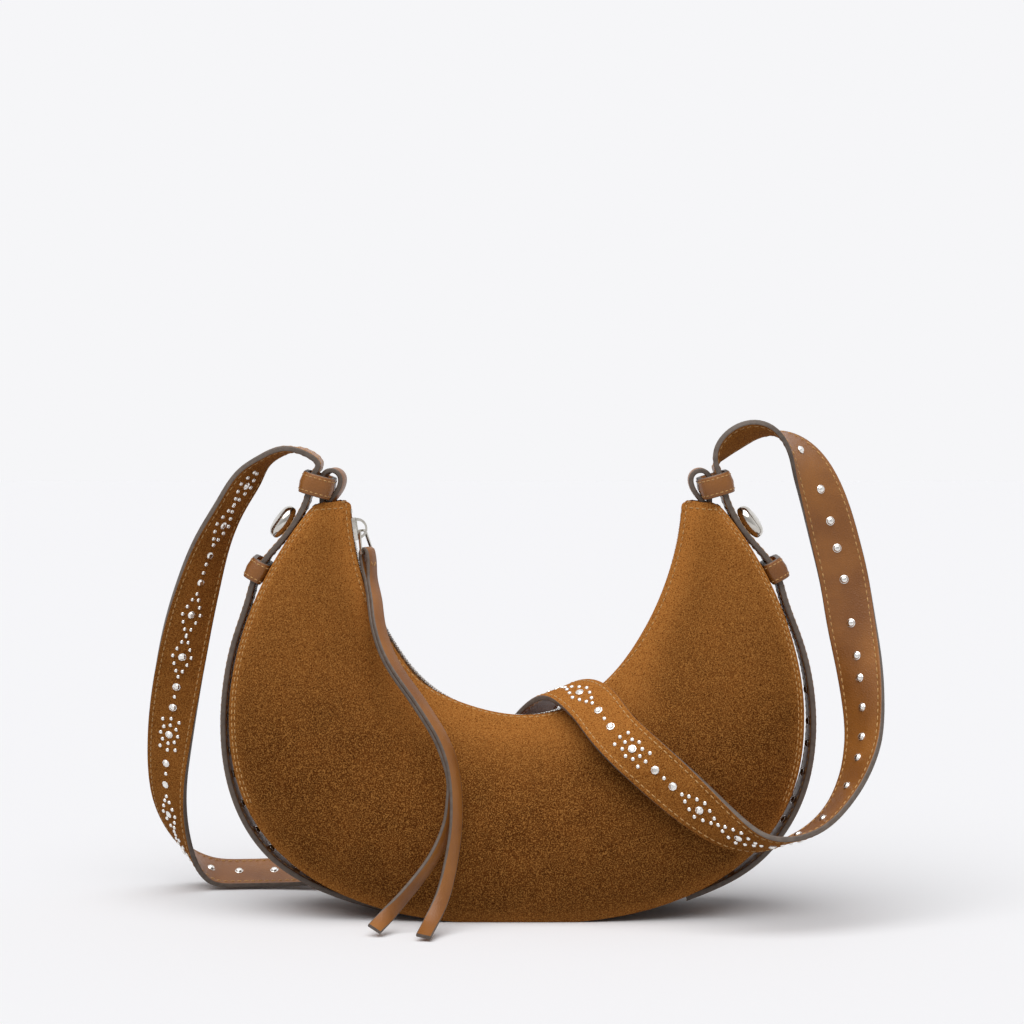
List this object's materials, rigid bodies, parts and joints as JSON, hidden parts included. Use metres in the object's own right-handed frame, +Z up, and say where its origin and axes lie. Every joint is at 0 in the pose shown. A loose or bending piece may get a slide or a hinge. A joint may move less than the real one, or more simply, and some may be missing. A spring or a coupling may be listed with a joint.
{
  "type": "half moon bag",
  "caption": "Crescent suede shoulder bag with a zip along its inner curve, a long leather zip pull and a studded strap held in keepers at both tips.",
  "frame": {"origin": "middle of the flat base that the bag stands on", "axes": "+X to the bag's right as seen from the front, +Y to the back, +Z up"},
  "size_m": [0.4296, 0.1824, 0.2833],
  "materials": {
    "suede": "napped brown suede, matte",
    "smooth_leather": "smooth grained leather, low sheen",
    "lining_cloth": "plain woven cotton",
    "zip_tape": "woven tape",
    "polished_metal": "polished nickel plate"
  },
  "bodies": {
    "bag": {"front_panel": "suede", "back_panel": "suede", "gusset": "suede", "left_side_gusset": "suede", "right_side_gusset": "suede", "strap_suede": "suede", "strap_backing": "smooth_leather", "left_upper_keeper": "smooth_leather", "right_upper_keeper": "smooth_leather", "left_lower_keeper": "smooth_leather", "right_lower_keeper": "smooth_leather", "left_tab": "smooth_leather", "right_tab": "smooth_leather", "front_lining": "lining_cloth", "back_lining": "lining_cloth", "gusset_lining": "lining_cloth", "zip_tape_front": "zip_tape", "zip_tape_back": "zip_tape", "zip_teeth_front": "polished_metal", "zip_teeth_back": "polished_metal", "zip_top_stop": "polished_metal", "zip_bottom_stop": "polished_metal", "left_stud": "polished_metal", "right_stud": "polished_metal", "left_stud_screw": "polished_metal", "right_stud_screw": "polished_metal"},
    "slider": {"zip_slider": "polished_metal"},
    "link": {"puller_link": "polished_metal"},
    "thong": {"pull_thong": "smooth_leather"}
  },
  "joints": [
    {"name": "zip_travel", "type": "hinge", "parent": "bag", "child": "slider", "pos_m": [0.07281, 0, 0.2449], "axis": [0, -1, 0], "range_deg": [0, 24]},
    {"name": "link_swing", "type": "hinge", "parent": "slider", "child": "link", "pos_m": [-0.0889, 0, 0.22064], "axis": [-0.4695, -0.8829, 0], "range_deg": [0, 70]},
    {"name": "thong_swing", "type": "hinge", "parent": "link", "child": "thong", "pos_m": [-0.08613, -0.00148, 0.20803], "axis": [-0.4695, -0.8829, 0], "range_deg": [0, 60]}
  ]
}
